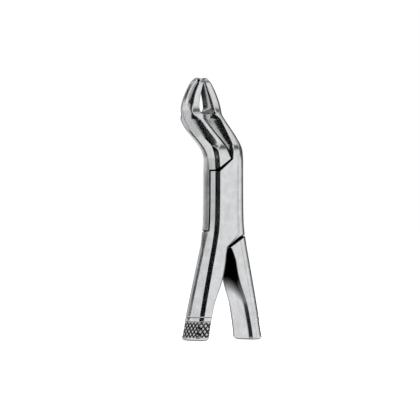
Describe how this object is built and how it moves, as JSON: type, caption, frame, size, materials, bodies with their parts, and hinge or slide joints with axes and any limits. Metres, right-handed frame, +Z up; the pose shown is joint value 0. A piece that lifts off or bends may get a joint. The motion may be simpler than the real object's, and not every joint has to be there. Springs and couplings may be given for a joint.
{
  "type": "extraction forceps",
  "caption": "Bayonet tooth extraction forceps with hollowed beaks set back from a half-lap pivot joint and splayed handles that open them.",
  "frame": {"origin": "where the pivot axis meets the flat front face of the joint", "axes": "+Z up along the tool from the handles to the beak tips, +Y along the pivot axis from front to back, the way the beaks are set back, +X the way the front half's beak opens"},
  "size_m": [0.0402, 0.0299, 0.1316],
  "materials": {
    "forged_steel": "finely polished stainless steel",
    "screw_steel": "turned stainless steel"
  },
  "bodies": {
    "back_limb": {"back_half": "forged_steel"},
    "front_limb": {"front_half": "forged_steel", "pivot_screw": "screw_steel"}
  },
  "joints": [
    {"name": "jaw_pivot", "type": "hinge", "parent": "back_limb", "child": "front_limb", "pos_m": [0, 0.00625, 0], "axis": [0, 1, 0], "range_deg": [0, 32]}
  ]
}
